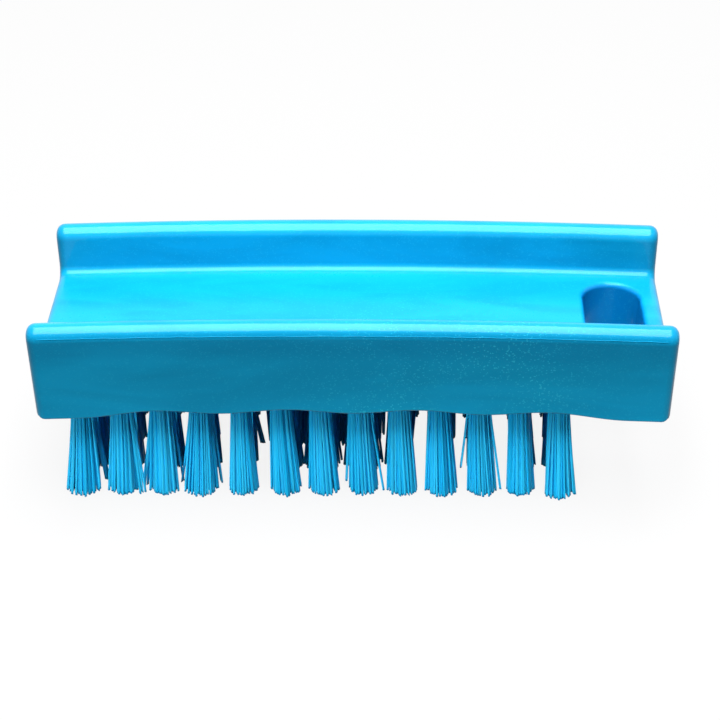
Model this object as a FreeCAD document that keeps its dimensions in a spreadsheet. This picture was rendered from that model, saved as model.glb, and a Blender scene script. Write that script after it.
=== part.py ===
import FreeCAD, Part
import math
import os
import re

import Sketcher

# A hand nail brush. One moulded block carries two long side walls with round rims, a deck
# between them, a hang slot through the deck at one end and scalloped lower edges. Its underside
# is drilled with four rows of blind holes, and each hole holds a bristle tuft folded over a
# flat metal anchor.
#
# Frame: +X along the block towards the hang slot, -Y towards the front row, +Z up. The origin
# is under the middle of the block, on the plane of the bristle tips.

# Driving sizes, in millimetres and degrees.
SIZES = {
    "block_length": 118.0,  # along the rim tops, end to end
    "block_width": 45.0,  # over the rims
    "wall_thickness": 5.0,  # of a side wall at its fully round rim
    "outer_draft": 3.0,  # lean of the walls' outer faces
    "inner_draft": 3.0,  # lean of the walls' inner faces
    "rim_height": 9.1,  # rim tops above the deck
    "base_thickness": 9.6,  # deck down to the troughs between the scallops
    "deck_fillet": 1.5,  # between the deck and the walls
    "bow_radius": 1545.0,  # of the rim tops, seen from the side
    "scallop_depth": 0.75,  # crest above trough on the lower edges
    "foot_drop": 0.5,  # end feet below the troughs
    "foot_length": 8.5,  # flat stretch of each end foot
    "foot_ramp": 14.5,  # from an end foot to the nearest crest
    "foot_corner": 1.7,  # lower corner radius of the ends
    "end_round": 1.6,  # round the walls and deck at the ends
    "slot_length": 11.0,  # hang slot along the block
    "slot_width": 26.0,  # hang slot across the block, over its round ends
    "slot_lip": 0.7,  # rounding of the hang slot's upper mouth
    "slot_end_margin": 4.2,  # from the hang slot to the block's end
    "row_end_margin": 8.1,  # from the block's plain end to the first tuft
    "row_slot_margin": 5.5,  # from the last tuft to the hang slot
    "row_edge_margin": 8.9,  # from the rims' outside to the outer rows
    "tuft_pitch": 7.45,  # nominal, along a row
    "hole_diameter": 4.0,  # over the corners of its facets
    "hole_floor": 3.0,  # left between a hole's end and the deck
    "tuft_clearance": 0.05,  # of a tuft's stem in its hole
    "bristle_length": 21.6,  # free length below the troughs
    "flare_clearance": 0.2,  # from the end feet down to the start of the flare
    "tip_diameter": 5.8,  # of a tuft at its tip
    "end_lean": 1.3,  # outward shift of the end tufts' tips
    "anchor_thickness": 0.45,
    "anchor_height": 1.8,
    "anchor_clearance": 0.04,  # of an anchor in its fold and hole
    "fold_thickness": 0.9,  # of the bristles folded over an anchor
}

SCALLOPS = 4
EXTRA_TUFTS = (0, 0, 1, 0)  # by row, from the front
TUFT_SIDES = 10  # facets round a tuft and its hole
CUT_MARGIN = 1.0  # how far a cutting outline reaches past the block
TOUCH = 1e-6  # how near counts as touching

# Sizes that follow from the driving ones.
BOW_CENTRE = "(bristle_length + base_thickness + rim_height - bow_radius)"
DECK_RADIUS = "(bow_radius - rim_height)"
TROUGH_RADIUS = "(bow_radius - rim_height - base_thickness)"
FOOT_RADIUS = "(bow_radius - rim_height - base_thickness - foot_drop)"
HALF_ANGLE = "asin(block_length / 2 / bow_radius)"
CREST_REACH = "(block_length / 2 - foot_length - foot_ramp)"
FIRST_TUFT = "(row_end_margin - block_length / 2)"
LAST_TUFT = "(block_length / 2 - slot_end_margin - slot_length - row_slot_margin)"
OUTER_ROW = "(block_width / 2 - row_edge_margin)"
HOLE_END = "(bristle_length + base_thickness - hole_floor)"
FOOT_HEIGHT = f"({BOW_CENTRE} + sqrt({FOOT_RADIUS}^2 - (block_length / 2)^2))"
FLARE_TOP = f"({FOOT_HEIGHT} - flare_clearance)"
STEM_TOP = f"({HOLE_END} - tuft_clearance)"
STEM_RADIUS = "(hole_diameter / 2 - tuft_clearance)"
ANCHOR_TOP = f"({STEM_TOP} - fold_thickness - anchor_clearance)"

doc = FreeCAD.newDocument("nail_brush")
sheet = doc.addObject("Spreadsheet::Sheet", "Sizes")


def fill_sheet():
    """Write each driving size into the sheet under its own name."""
    for row, (name, size) in enumerate(SIZES.items(), start=1):
        sheet.set(f"A{row}", name)
        sheet.set(f"B{row}", str(size))
        sheet.setAlias(f"B{row}", name)
    doc.recompute()


def sized(expression):
    """Return an expression with each driving size's name pointing at its cell."""
    return re.sub(r"[a-z_]+", lambda m: f"Sizes.{m[0]}" if m[0] in SIZES else m[0], expression)


def value(expression):
    """Work out an expression in the driving sizes as a plain number."""
    return float(sheet.evalExpression(sized(expression)))


def bind(obj, path, expression):
    """Tie one property of an object to the driving sizes."""
    obj.setExpression(path, sized(expression))


def flat(x, y):
    """Return a point of a sketch."""
    return FreeCAD.Vector(x, y, 0)


def new_sketch(body, name, role):
    """Add a sketch on one of a body's own origin planes."""
    sketch = body.newObject("Sketcher::SketchObject", name)
    plane = next(item for item in body.Origin.OriginFeatures if item.Role == role)
    sketch.AttachmentSupport = [(plane, "")]
    sketch.MapMode = "FlatFace"
    return sketch


def drawn_value(sketch, kind, geometry, point):
    """Measure a dimension on a sketch as it is drawn, from the sketch's origin."""
    if kind == "Radius":
        return sketch.Geometry[geometry].Radius
    if kind == "Angle":
        line = sketch.Geometry[geometry]
        run = line.EndPoint - line.StartPoint
        return math.atan2(run.y, run.x)
    place = sketch.getPoint(geometry, point)
    return {"DistanceX": place.x, "DistanceY": place.y, "Distance": place.Length}[kind]


def dimension(sketch, kind, geometry, expression, point=0):
    """Add a dimension that follows the driving sizes."""
    drawn = drawn_value(sketch, kind, geometry, point)
    if kind in ("Radius", "Angle"):
        constraint = Sketcher.Constraint(kind, geometry, drawn)
    else:
        constraint = Sketcher.Constraint(kind, -1, 1, geometry, point, drawn)
    index = sketch.addConstraint(constraint)
    bind(sketch, f"Constraints[{index}]", expression)


def join(sketch, kind, first, first_point, second, second_point):
    """Join the ends of two lines or arcs, with a corner or a smooth joint."""
    sketch.addConstraint(Sketcher.Constraint(kind, first, first_point, second, second_point))


def add_line(sketch, start, end):
    """Add a straight line and return its number."""
    return sketch.addGeometry(Part.LineSegment(start, end), False)


def add_arc(sketch, centre, radius, start_angle, end_angle):
    """Add an arc, counter-clockwise from its start, and return its number."""
    circle = Part.Circle(centre, FreeCAD.Vector(0, 0, 1), radius)
    return sketch.addGeometry(Part.ArcOfCircle(circle, start_angle, end_angle), False)


def draw_section(body):
    """Draw the channel section, with the bow's centre as the sketch's origin."""
    sketch = new_sketch(body, "section", "YZ_Plane")
    bind(sketch, "AttachmentOffset.Base.y", BOW_CENTRE)
    rim = SIZES["wall_thickness"] / 2
    rim_y = SIZES["block_width"] / 2 - rim
    rim_level = SIZES["bow_radius"] - rim
    deck_level = SIZES["bow_radius"] - SIZES["rim_height"]
    low_level = deck_level - SIZES["base_thickness"] - SIZES["foot_drop"] - CUT_MARGIN
    fillet = SIZES["deck_fillet"]
    outer = math.radians(SIZES["outer_draft"])
    inner = math.radians(SIZES["inner_draft"])
    corners = {}
    for side in (1, -1):
        outer_top = flat(side * (rim_y + rim * math.cos(outer)), rim_level - rim * math.sin(outer))
        lean = (outer_top.y - low_level) * math.tan(outer)
        outer_low = flat(outer_top.x - side * lean, low_level)
        inner_top = flat(side * (rim_y - rim * math.cos(inner)), rim_level + rim * math.sin(inner))
        run = (inner_top.y + fillet * math.sin(inner) - deck_level - fillet) / math.cos(inner)
        inner_low = inner_top + flat(-side * math.sin(inner), -math.cos(inner)) * run
        fillet_centre = inner_low + flat(-side * math.cos(inner), math.sin(inner)) * fillet
        outer_line = add_line(sketch, outer_low, outer_top)
        inner_line = add_line(sketch, inner_low, inner_top)
        rim_centre = flat(side * rim_y, rim_level)
        if side == 1:
            rim_arc = add_arc(sketch, rim_centre, rim, -outer, math.pi - inner)
            fillet_arc = add_arc(sketch, fillet_centre, fillet, -math.pi / 2, -inner)
            rim_outer, rim_inner, fillet_deck, fillet_wall = 1, 2, 1, 2
        else:
            rim_arc = add_arc(sketch, rim_centre, rim, inner, math.pi + outer)
            fillet_arc = add_arc(sketch, fillet_centre, fillet, math.pi + inner, 1.5 * math.pi)
            rim_outer, rim_inner, fillet_deck, fillet_wall = 2, 1, 2, 1
        join(sketch, "Tangent", outer_line, 2, rim_arc, rim_outer)
        join(sketch, "Tangent", inner_line, 2, rim_arc, rim_inner)
        join(sketch, "Tangent", inner_line, 1, fillet_arc, fillet_wall)
        dimension(sketch, "Radius", rim_arc, "wall_thickness / 2")
        dimension(sketch, "Radius", fillet_arc, "deck_fillet")
        dimension(sketch, "DistanceX", rim_arc, f"{side} * (block_width - wall_thickness) / 2", 3)
        dimension(sketch, "DistanceY", rim_arc, "bow_radius - wall_thickness / 2", 3)
        dimension(sketch, "Angle", outer_line, f"(90 - {side} * outer_draft) * 1 deg")
        dimension(sketch, "Angle", inner_line, f"(90 - {side} * inner_draft) * 1 deg")
        corners[side] = (outer_line, outer_low, fillet_arc, fillet_deck, fillet_centre.x)
    base_line = add_line(sketch, corners[-1][1], corners[1][1])
    deck_line = add_line(sketch, flat(corners[1][4], deck_level), flat(corners[-1][4], deck_level))
    for side, base_end, deck_end in ((1, 2, 1), (-1, 1, 2)):
        outer_line, _, fillet_arc, fillet_deck, _ = corners[side]
        join(sketch, "Coincident", outer_line, 1, base_line, base_end)
        join(sketch, "Tangent", fillet_arc, fillet_deck, deck_line, deck_end)
    for line in (base_line, deck_line):
        sketch.addConstraint(Sketcher.Constraint("Horizontal", line))
    dimension(sketch, "DistanceY", deck_line, DECK_RADIUS, 1)
    dimension(sketch, "DistanceY", base_line, f"{FOOT_RADIUS} - {CUT_MARGIN}", 1)
    return sketch


def scallop_nodes():
    """List the lower edge's arc ends from left to right, as (x, level) expressions.

    A level is measured from the troughs, outwards from the bow's centre.
    """
    foot = f"({CREST_REACH} + foot_ramp)"
    middle = f"({CREST_REACH} + foot_ramp / 2)"
    ramp = [
        (foot, "-foot_drop"),
        (middle, "(scallop_depth - foot_drop) / 2"),
        (CREST_REACH, "scallop_depth"),
    ]
    nodes = [(f"-{x}", level) for x, level in ramp]
    for gap in range(SCALLOPS - 1):
        for quarter in (0.25, 0.75):
            share = 2 * (gap + quarter) / (SCALLOPS - 1) - 1
            nodes.append((f"{CREST_REACH} * {share}", "scallop_depth / 2"))
    return nodes + list(reversed(ramp))


def scallop_arcs():
    """List the lower edge's arcs from left to right, as (bulge, radius expression)."""
    pitch = f"(2 * {CREST_REACH} / {SCALLOPS - 1})"
    wave = f"({pitch}^2 / 16 + scallop_depth^2 / 4) / scallop_depth"
    ramp = "(foot_ramp^2 / 4 + (scallop_depth + foot_drop)^2 / 4) / (scallop_depth + foot_drop)"
    inner = [1 - 2 * (number % 2) for number in range(2 * SCALLOPS - 1)]
    waves = [(bulge, wave) for bulge in inner]
    return [(-1, ramp), (1, ramp)] + waves + [(1, ramp), (-1, ramp)]


def draw_lower_edge(body):
    """Draw what is cut from under the block: feet, ramps and scallops, closed below."""
    sketch = new_sketch(body, "lower_edge", "XZ_Plane")
    bind(sketch, "AttachmentOffset.Base.y", BOW_CENTRE)
    nodes = scallop_nodes()
    arcs = scallop_arcs()
    trough = SIZES["bow_radius"] - SIZES["rim_height"] - SIZES["base_thickness"]
    places = []
    for x, level in nodes:
        places.append(flat(value(x), math.sqrt((trough + value(level)) ** 2 - value(x) ** 2)))
    drawn = []
    for (bulge, expression), left, right in zip(arcs, places, places[1:]):
        radius = value(expression)
        chord = right - left
        rise = math.sqrt(radius**2 - chord.Length**2 / 4)
        upright = flat(-chord.y, chord.x) / chord.Length
        centre = (left + right) / 2 - upright * (bulge * rise)
        start, end = (right, left) if bulge > 0 else (left, right)
        start_angle = math.atan2(start.y - centre.y, start.x - centre.x)
        end_angle = math.atan2(end.y - centre.y, end.x - centre.x)
        arc = add_arc(sketch, centre, radius, start_angle, end_angle)
        dimension(sketch, "Radius", arc, expression)
        drawn.append((arc, 2, 1) if bulge > 0 else (arc, 1, 2))
    for (arc, left_end, _), (x, level) in zip(drawn, nodes):
        dimension(sketch, "DistanceX", arc, x, left_end)
        dimension(sketch, "Distance", arc, f"{TROUGH_RADIUS} + {level}", left_end)
    last_arc, _, last_end = drawn[-1]
    dimension(sketch, "DistanceX", last_arc, nodes[-1][0], last_end)
    dimension(sketch, "Distance", last_arc, f"{TROUGH_RADIUS} + {nodes[-1][1]}", last_end)
    for (first, _, first_end), (second, second_end, _) in zip(drawn, drawn[1:]):
        join(sketch, "Coincident", first, first_end, second, second_end)
    close_lower_edge(sketch, drawn, places)
    return sketch


def close_lower_edge(sketch, drawn, places):
    """Add the feet and the round lower corners, and close the outline outside the block."""
    foot = places[0].Length
    corner = SIZES["foot_corner"]
    half_angle = math.asin(SIZES["block_length"] / 2 / SIZES["bow_radius"])
    corner_angle = half_angle - math.asin(corner / (foot + corner))
    meeting = math.sqrt((foot + corner) ** 2 - corner**2)
    reach = SIZES["block_length"] / 2 + CUT_MARGIN
    low = foot - 4 * CUT_MARGIN - SIZES["block_length"] ** 2 / (8 * foot)
    uprights = []
    for side, (wave, wave_left, wave_right) in ((1, drawn[-1]), (-1, drawn[0])):
        wave_end = wave_right if side == 1 else wave_left
        inner = math.pi / 2 - math.atan2(places[-1].y, places[-1].x)
        centre = flat(side * math.sin(corner_angle), math.cos(corner_angle)) * (foot + corner)
        end = flat(side * math.sin(half_angle), math.cos(half_angle)) * meeting
        if side == 1:
            foot_arc = add_arc(sketch, flat(0, 0), foot, math.pi / 2 - corner_angle, math.pi / 2 - inner)
            round_arc = add_arc(sketch, centre, corner, -math.pi / 2 - corner_angle, -half_angle)
            foot_inner, foot_outer, round_foot, round_end = 2, 1, 1, 2
        else:
            foot_arc = add_arc(sketch, flat(0, 0), foot, math.pi / 2 + inner, math.pi / 2 + corner_angle)
            round_arc = add_arc(sketch, centre, corner, math.pi + half_angle, 1.5 * math.pi + corner_angle)
            foot_inner, foot_outer, round_foot, round_end = 1, 2, 2, 1
        end_line = sketch.addGeometry(Part.LineSegment(flat(0, 0), end), True)
        ledge = add_line(sketch, end, flat(side * reach, end.y))
        upright = add_line(sketch, flat(side * reach, end.y), flat(side * reach, low))
        join(sketch, "Coincident", foot_arc, 3, -1, 1)
        join(sketch, "Coincident", foot_arc, foot_inner, wave, wave_end)
        join(sketch, "Tangent", foot_arc, foot_outer, round_arc, round_foot)
        join(sketch, "Coincident", end_line, 1, -1, 1)
        join(sketch, "Tangent", end_line, 2, round_arc, round_end)
        join(sketch, "Coincident", ledge, 1, round_arc, round_end)
        join(sketch, "Coincident", upright, 1, ledge, 2)
        sketch.addConstraint(Sketcher.Constraint("Horizontal", ledge))
        sketch.addConstraint(Sketcher.Constraint("Vertical", upright))
        dimension(sketch, "Radius", round_arc, "foot_corner")
        dimension(sketch, "Angle", end_line, f"90 deg - {side} * {HALF_ANGLE}")
        dimension(sketch, "DistanceX", upright, f"{side} * (block_length / 2 + {CUT_MARGIN})", 1)
        uprights.append(upright)
    low_line = add_line(sketch, flat(reach, low), flat(-reach, low))
    join(sketch, "Coincident", uprights[0], 2, low_line, 1)
    join(sketch, "Coincident", uprights[1], 2, low_line, 2)
    sketch.addConstraint(Sketcher.Constraint("Horizontal", low_line))
    low_level = f"{FOOT_RADIUS} - {4 * CUT_MARGIN} - block_length^2 / (8 * {FOOT_RADIUS})"
    dimension(sketch, "DistanceY", low_line, low_level, 1)


def draw_slot(body):
    """Draw the hang slot, two straight sides joined by half circles."""
    sketch = new_sketch(body, "slot_outline", "XY_Plane")
    radius = SIZES["slot_length"] / 2
    middle = SIZES["block_length"] / 2 - SIZES["slot_end_margin"] - radius
    reach = SIZES["slot_width"] / 2 - radius
    rear = add_arc(sketch, flat(middle, reach), radius, 0, math.pi)
    front = add_arc(sketch, flat(middle, -reach), radius, math.pi, 2 * math.pi)
    for first, second in ((rear, front), (front, rear)):
        side = add_line(sketch, sketch.getPoint(first, 2), sketch.getPoint(second, 1))
        join(sketch, "Tangent", first, 2, side, 1)
        join(sketch, "Tangent", side, 2, second, 1)
    centre_x = "block_length / 2 - slot_end_margin - slot_length / 2"
    dimension(sketch, "Radius", rear, "slot_length / 2")
    dimension(sketch, "DistanceX", rear, centre_x, 3)
    dimension(sketch, "DistanceX", front, centre_x, 3)
    dimension(sketch, "DistanceY", rear, "(slot_width - slot_length) / 2", 3)
    dimension(sketch, "DistanceY", front, "(slot_length - slot_width) / 2", 3)
    return sketch


def cut_through(body, name, sketch):
    """Cut a sketch right through the body, both ways from its plane."""
    before = body.Shape.Volume
    pocket = body.newObject("PartDesign::Pocket", name)
    pocket.Profile = sketch
    pocket.Type = "ThroughAll"
    pocket.SideType = "Symmetric"
    doc.recompute()
    if not body.Shape.Volume < before:
        raise RuntimeError(f"{name} cut nothing")
    return pocket


def round_edges(body, name, test, expression):
    """Round the edges of a body that pass a test on their points."""
    base = body.Tip
    chosen = [f"Edge{n}" for n, edge in enumerate(base.Shape.Edges, start=1) if test(edge)]
    fillet = body.newObject("PartDesign::Fillet", name)
    fillet.Base = (base, chosen)
    bind(fillet, "Radius", expression)
    doc.recompute()
    return fillet


def sample_points(edge):
    """Return the start, middle and end of an edge."""
    first, last = edge.ParameterRange
    return [edge.valueAt(first + share * (last - first)) for share in (0.0, 0.5, 1.0)]


def make_block(rows):
    """Build the moulded block: bowed channel, lower edge, hang slot, roundings and holes."""
    body = doc.addObject("PartDesign::Body", "block")
    section = draw_section(body)
    bowed = body.newObject("PartDesign::Revolution", "bowed_channel")
    bowed.Profile = section
    bowed.ReferenceAxis = (section, ["H_Axis"])
    bowed.Midplane = True
    bind(bowed, "Angle", f"2 * {HALF_ANGLE}")
    doc.recompute()

    half = SIZES["block_length"] / 2
    tall = SIZES["bristle_length"] + SIZES["base_thickness"]
    half_angle = math.asin(half / SIZES["bow_radius"])

    def on_end(point):
        """Tell whether a point lies on one of the two end planes."""
        centre = tall + SIZES["rim_height"] - SIZES["bow_radius"]
        return abs(math.atan2(abs(point.x), point.z - centre) - half_angle) < TOUCH / SIZES["block_length"]

    def on_outline(edge):
        """Tell whether an edge runs round an end, above the underside."""
        points = sample_points(edge)
        return all(map(on_end, points)) and max(p.z for p in points) > SIZES["bristle_length"]

    round_edges(body, "end_rounds", on_outline, "end_round")
    cut_through(body, "lower_edge_cut", draw_lower_edge(body))
    cut_through(body, "hang_slot", draw_slot(body))

    def on_lip(edge):
        """Tell whether an edge is part of the hang slot's upper mouth."""
        points = sample_points(edge)
        near = half - SIZES["slot_end_margin"] - SIZES["slot_length"] - TOUCH
        inside = all(near < p.x < half - SIZES["slot_end_margin"] + TOUCH for p in points)
        narrow = all(abs(p.y) < SIZES["slot_width"] / 2 + TOUCH for p in points)
        return inside and narrow and min(p.z for p in points) > tall - SIZES["base_thickness"] / 2

    round_edges(body, "slot_mouth", on_lip, "slot_lip")
    for number, (row_y, count) in enumerate(rows, start=1):
        drill_row(body, number, row_y, count)
    return body


def drill_row(body, number, row_y, count):
    """Drill one row of blind holes into the underside, faceted as the tufts in them are."""
    before = body.Shape.Volume
    drilled = body.newObject("PartDesign::SubtractivePrism", f"first_hole_{number}")
    drilled.Polygon = TUFT_SIDES
    bind(drilled, "Circumradius", "hole_diameter / 2")
    bind(drilled, "Height", HOLE_END)
    bind(drilled, "Placement.Base.x", FIRST_TUFT)
    bind(drilled, "Placement.Base.y", row_y)
    body.Tip = drilled
    doc.recompute()
    one_hole = before - body.Shape.Volume
    row = body.newObject("PartDesign::LinearPattern", f"holes_{number}")
    row.Originals = [drilled]
    along = next(item for item in body.Origin.OriginFeatures if item.Role == "X_Axis")
    row.Direction = (along, [""])
    bind(row, "Length", f"{LAST_TUFT} - {FIRST_TUFT}")
    row.Occurrences = count
    body.Tip = row
    doc.recompute()
    if one_hole <= 0 or before - body.Shape.Volume < one_hole * count / 2:
        raise RuntimeError(f"row {number} is not drilled")


def make_tuft(label, root_x, root_y):
    """Build one bristle tuft: stem, fold slot for the anchor, and flared free length."""
    stem = doc.addObject("Part::Prism", f"{label}_stem")
    stem.Polygon = TUFT_SIDES
    bind(stem, "Circumradius", STEM_RADIUS)
    bind(stem, "Height", f"{STEM_TOP} - {FLARE_TOP}")
    bind(stem, "Placement.Base.z", FLARE_TOP)
    root = doc.addObject("Part::RegularPolygon", f"{label}_root")
    root.Polygon = TUFT_SIDES
    bind(root, "Circumradius", STEM_RADIUS)
    bind(root, "Placement.Base.z", FLARE_TOP)
    tip = doc.addObject("Part::RegularPolygon", f"{label}_tip")
    tip.Polygon = TUFT_SIDES
    bind(tip, "Circumradius", "tip_diameter / 2")
    bind(tip, "Placement.Base.x", f"end_lean * ({root_x}) / -{FIRST_TUFT}")
    flare = doc.addObject("Part::Loft", f"{label}_flare")
    flare.Sections = [root, tip]
    flare.Solid = True
    flare.Ruled = True
    flare.Linearize = True
    bundle = doc.addObject("Part::MultiFuse", f"{label}_bundle")
    bundle.Shapes = [stem, flare]
    fold = doc.addObject("Part::Box", f"{label}_fold")
    bind(fold, "Length", "hole_diameter")
    bind(fold, "Width", "anchor_thickness + 2 * anchor_clearance")
    bind(fold, "Height", "anchor_height + 2 * anchor_clearance")
    bind(fold, "Placement.Base.x", "-hole_diameter / 2")
    bind(fold, "Placement.Base.y", "-anchor_thickness / 2 - anchor_clearance")
    bind(fold, "Placement.Base.z", f"{ANCHOR_TOP} - anchor_height - anchor_clearance")
    tuft = doc.addObject("Part::Cut", label)
    tuft.Base = bundle
    tuft.Tool = fold
    bind(tuft, "Placement.Base.x", root_x)
    bind(tuft, "Placement.Base.y", root_y)
    return tuft


def make_anchor(name, root_x, root_y):
    """Build one flat anchor, wedged across its hole under the fold."""
    corner_room = f"anchor_thickness / 2 * tan({180 / TUFT_SIDES} deg)"
    half_span = f"(hole_diameter / 2 - {corner_room} - anchor_clearance)"
    anchor = doc.addObject("Part::Box", name)
    bind(anchor, "Length", f"2 * {half_span}")
    bind(anchor, "Width", "anchor_thickness")
    bind(anchor, "Height", "anchor_height")
    bind(anchor, "Placement.Base.x", f"{root_x} - {half_span}")
    bind(anchor, "Placement.Base.y", f"{root_y} - anchor_thickness / 2")
    bind(anchor, "Placement.Base.z", f"{ANCHOR_TOP} - anchor_height")
    return anchor


def row_layout():
    """Return each row's place across the block, as an expression, and its count of tufts."""
    gaps = max(1, round(value(f"({LAST_TUFT} - {FIRST_TUFT}) / tuft_pitch")))
    rows = len(EXTRA_TUFTS)
    layout = []
    for number, extra in enumerate(EXTRA_TUFTS):
        share = 2 * number / (rows - 1) - 1
        layout.append((f"{OUTER_ROW} * {share}", gaps + 1 + extra))
    return layout


def make_rows(rows):
    """Build every tuft as a sub-part, and each row's anchors as one group."""
    subparts = []
    for number, (row_y, count) in enumerate(rows, start=1):
        anchors = []
        for place in range(count):
            share = place / (count - 1)
            root_x = f"({FIRST_TUFT} + ({LAST_TUFT} - {FIRST_TUFT}) * {share})"
            label = f"tuft_row_{number}_{place + 1:02d}"
            subparts.append(make_tuft(label, root_x, row_y))
            anchors.append(make_anchor(f"anchor_{number}_{place + 1:02d}", root_x, row_y))
        group = doc.addObject("Part::Compound", f"anchors_row_{number}")
        group.Links = anchors
        subparts.append(group)
    return subparts


def check_document(subparts):
    """Stop if any object failed, or a sub-part has no valid shape."""
    for obj in doc.Objects:
        if "Invalid" in obj.State or "Error" in obj.State:
            raise RuntimeError(f"{obj.Label} failed: {obj.State}")
    for obj in subparts:
        if obj.Shape.isNull() or not obj.Shape.isValid():
            raise RuntimeError(f"{obj.Label} has no valid shape")


fill_sheet()
tuft_rows = row_layout()
parts = [make_block(tuft_rows)] + make_rows(tuft_rows)
doc.recompute()
check_document(parts)

os.makedirs("parts", exist_ok=True)
for part in parts:
    part.Shape.exportStep(f"parts/{part.Label}.step")
print(f"{len(parts)} sub-parts, {sum(len(part.Shape.Solids) for part in parts)} solids")
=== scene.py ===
"""Dress a nail brush: a pearl blue moulded block that carries four rows of blue bristle tufts."""

import logging
import math
import random
from collections.abc import Callable, Iterator
from contextlib import contextmanager
from dataclasses import dataclass, field
from enum import Enum
from typing import Any

import bmesh
import bpy
import numpy as np
from mathutils import Matrix, Vector


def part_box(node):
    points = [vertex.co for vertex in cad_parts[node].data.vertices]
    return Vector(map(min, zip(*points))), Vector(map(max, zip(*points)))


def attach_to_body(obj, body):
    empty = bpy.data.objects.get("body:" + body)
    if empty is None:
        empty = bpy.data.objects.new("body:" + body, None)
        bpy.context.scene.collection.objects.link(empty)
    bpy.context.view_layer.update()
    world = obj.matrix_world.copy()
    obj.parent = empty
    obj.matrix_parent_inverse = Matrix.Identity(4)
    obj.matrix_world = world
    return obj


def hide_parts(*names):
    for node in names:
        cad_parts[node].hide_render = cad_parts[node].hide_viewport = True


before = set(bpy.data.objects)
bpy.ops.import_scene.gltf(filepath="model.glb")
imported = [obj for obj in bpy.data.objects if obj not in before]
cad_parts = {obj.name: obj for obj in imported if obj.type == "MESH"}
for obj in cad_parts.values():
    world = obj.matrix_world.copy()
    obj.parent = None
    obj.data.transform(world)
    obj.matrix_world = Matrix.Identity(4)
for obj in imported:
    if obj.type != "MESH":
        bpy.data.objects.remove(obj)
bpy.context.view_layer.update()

LOG = logging.getLogger("nail_brush")
MM = 0.001
MERGE = 0.001 * MM
BODY = "root"

Colour = tuple[float, float, float]
Axes = tuple[float, float, float]
Span = tuple[float, float]


class Slot(Enum):
    """Material slot names that are handed to attach with the new pieces."""

    BLOCK = "block_plastic"
    BRISTLE = "bristle"


class Row(Enum):
    """Rows of tufts, counted from the front of the brush."""

    FRONT = 1
    SECOND = 2
    THIRD = 3
    REAR = 4


class Kind(Enum):
    """What a selection in edit mode is made of."""

    POINT = "VERT"
    EDGE = "EDGE"
    FACE = "FACE"


@contextmanager
def editing(piece: bpy.types.Object) -> Iterator[None]:
    """Work on one piece in edit mode, with nothing else selected.

    Args:
        piece: The mesh object to work on.
    """
    choose(piece)
    bpy.ops.object.mode_set(mode="EDIT")
    bpy.ops.mesh.select_mode(type=Kind.POINT.value)
    yield
    bpy.ops.object.mode_set(mode="OBJECT")


def choose(piece: bpy.types.Object) -> None:
    """Make a piece the only selected object and the active one.

    Args:
        piece: The object to select.
    """
    bpy.ops.object.select_all(action="DESELECT")
    piece.select_set(True)
    bpy.context.view_layer.objects.active = piece


def pick(piece: bpy.types.Object, kind: Kind, test: Callable[[Any], bool]) -> None:
    """Select the points, edges or faces of a piece that pass a test, in edit mode.

    Args:
        piece: The mesh object in edit mode.
        kind: What to select.
        test: Called with each point, edge or face.
    """
    bpy.ops.mesh.select_mode(type=kind.value)
    bpy.ops.mesh.select_all(action="DESELECT")
    mesh = bmesh.from_edit_mesh(piece.data)
    items = {Kind.POINT: mesh.verts, Kind.EDGE: mesh.edges, Kind.FACE: mesh.faces}[kind]
    for item in items:
        if test(item):
            item.select_set(True)
    mesh.select_flush_mode()
    bmesh.update_edit_mesh(piece.data)


def slide(offset: Vector) -> None:
    """Move what is selected in edit mode."""
    bpy.ops.transform.translate(value=offset)


def extrude(offset: Vector) -> None:
    """Extrude what is selected in edit mode and move the new end."""
    bpy.ops.mesh.extrude_region_move(TRANSFORM_OT_translate={"value": offset})


def spin(centre: Vector, axis: Vector, angle: float, steps: int) -> None:
    """Spin what is selected about an axis, counter-clockwise seen against the axis.

    Args:
        centre: A point of the axis.
        axis: The axis to turn about.
        angle: How far to turn, in radians.
        steps: How many steps the turn is made in.
    """
    bpy.ops.mesh.spin(steps=steps, angle=-angle, center=centre, axis=axis)


def settle(piece: bpy.types.Object) -> None:
    """Merge a piece's doubles and point its faces outwards.

    Args:
        piece: The mesh object.
    """
    with editing(piece):
        bpy.ops.mesh.select_all(action="SELECT")
        bpy.ops.mesh.remove_doubles(threshold=MERGE)
        bpy.ops.mesh.normals_make_consistent(inside=False)


def add_modifier(piece: bpy.types.Object, kind: str, **settings: Any) -> None:
    """Add a modifier to a piece and apply it.

    Args:
        piece: The mesh object.
        kind: The modifier's type.
        **settings: Its settings, by name.
    """
    choose(piece)
    modifier = piece.modifiers.new(kind.lower(), kind)
    for name, setting in settings.items():
        setattr(modifier, name, setting)
    bpy.ops.object.modifier_apply(modifier=modifier.name)


def place_down(piece: bpy.types.Object) -> None:
    """Put a piece's place into its mesh, so that its object sits at the origin."""
    choose(piece)
    bpy.ops.object.transform_apply(location=True, rotation=True, scale=True)


def smooth(piece: bpy.types.Object, angle: float) -> None:
    """Shade a piece smooth, with sharp edges past an angle in degrees."""
    choose(piece)
    bpy.ops.object.shade_smooth_by_angle(angle=math.radians(angle))


def cut(piece: bpy.types.Object, tool: bpy.types.Object) -> None:
    """Cut one mesh out of another and delete the tool."""
    add_modifier(piece, "BOOLEAN", operation="DIFFERENCE", object=tool, solver="EXACT")
    bpy.data.objects.remove(tool)


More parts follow.
